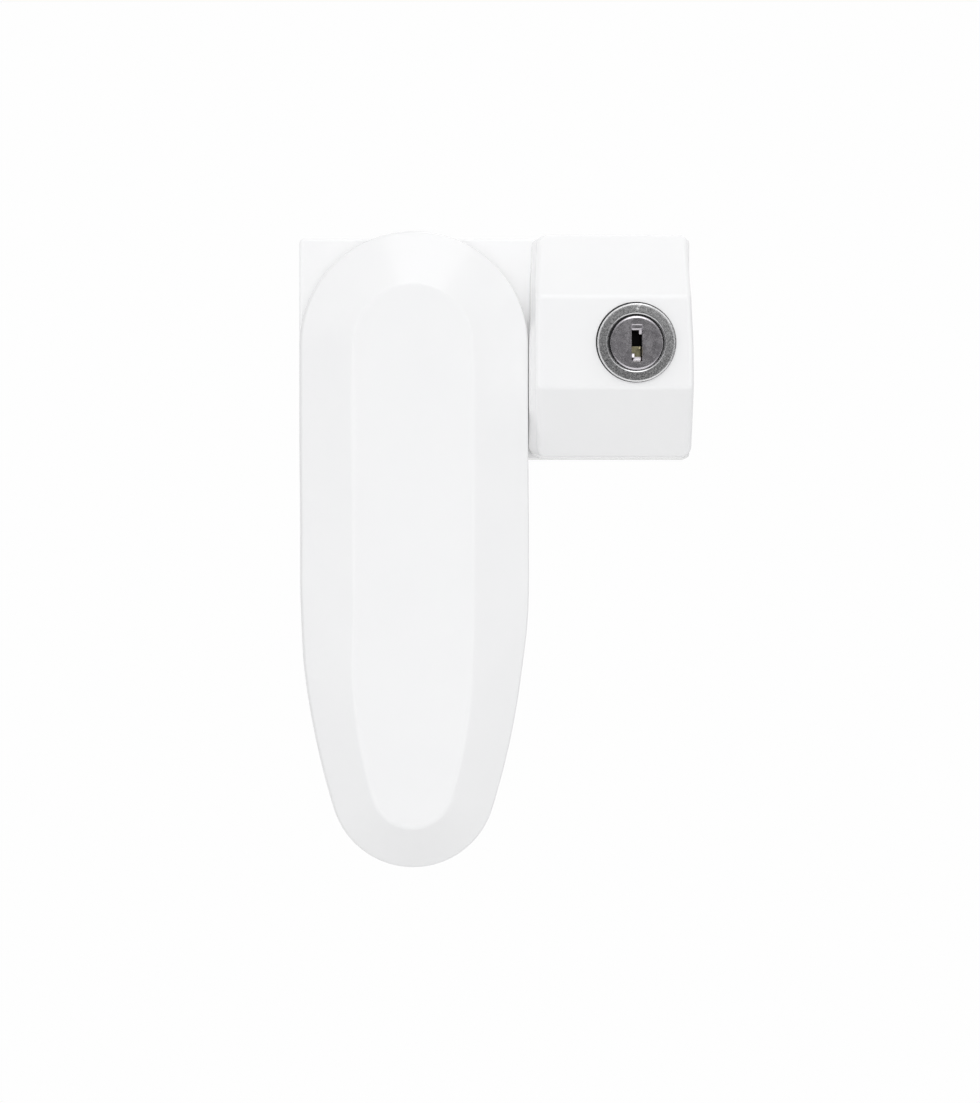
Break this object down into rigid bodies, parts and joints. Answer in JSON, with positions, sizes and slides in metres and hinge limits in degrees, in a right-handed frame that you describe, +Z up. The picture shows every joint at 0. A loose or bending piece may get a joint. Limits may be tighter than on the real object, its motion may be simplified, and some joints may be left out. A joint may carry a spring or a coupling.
{
  "type": "recreational vehicle door lock",
  "caption": "Wall-mounted vehicle door lock: a long rounded arm turns in front of the door and a key cylinder in a faceted housing slides a bolt into the arm's notched disc.",
  "frame": {"origin": "centre of the four wall bolts, on the gasket's face against the vehicle's wall", "axes": "+Z up the wall, +X towards the key housing, -Y off the wall towards the user; stored with the arm hanging down and the bolt drawn back"},
  "size_m": [0.117, 0.048, 0.1885],
  "materials": {
    "white_shell": "white, smooth moulded gloss",
    "white_casting": "white gloss paint on a die casting",
    "plated_steel": "zinc plated",
    "machined_steel": "turned and milled",
    "screw_steel": "bright stainless",
    "nickel_body": "satin nickel, turned",
    "nickel_plug": "satin nickel, fine brushed",
    "wafer_brass": "punched sheet",
    "rubber": "matt black",
    "bearing_plastic": "natural acetal"
  },
  "bodies": {
    "base": {"wall_gasket": "rubber", "back_plate": "plated_steel", "wall_nuts": "screw_steel", "base_casting": "white_casting", "back_plate_screws": "screw_steel", "hub_bush": "bearing_plastic", "disc_washer": "bearing_plastic", "bolt_keeper": "plated_steel", "keeper_screws": "screw_steel", "lock_housing": "white_shell", "housing_screws": "screw_steel", "cylinder_body": "nickel_body", "cylinder_nut": "screw_steel"},
    "arm": {"arm_cover": "white_shell", "arm_plate": "plated_steel", "cover_screws": "screw_steel", "door_pad": "rubber", "pivot_hub": "machined_steel", "hub_screws": "screw_steel", "lock_disc": "machined_steel", "disc_retainer": "machined_steel", "disc_screw": "screw_steel"},
    "plug": {"cylinder_plug": "nickel_plug", "wafers": "wafer_brass", "drive_crank": "machined_steel", "crank_pin": "machined_steel", "crank_screw": "screw_steel"},
    "bolt": {"lock_bolt": "machined_steel"}
  },
  "joints": [
    {"name": "arm_swing", "type": "hinge", "parent": "base", "child": "arm", "pos_m": [-0.024, -0.018, 0], "axis": [0, 1, 0], "range_deg": [0, 180]},
    {"name": "plug_turn", "type": "hinge", "parent": "base", "child": "plug", "pos_m": [0.0415, -0.03, 0.0004], "axis": [0, 1, 0], "range_deg": [0, 90]},
    {"name": "bolt_slide", "type": "slide", "parent": "base", "child": "bolt", "axis": [-1, 0, 0], "range_m": [0, 0.0099]}
  ],
  "couplings": [
    {"joint": "plug_turn", "follows": "bolt_slide", "rad_per_m": 158.67}
  ]
}
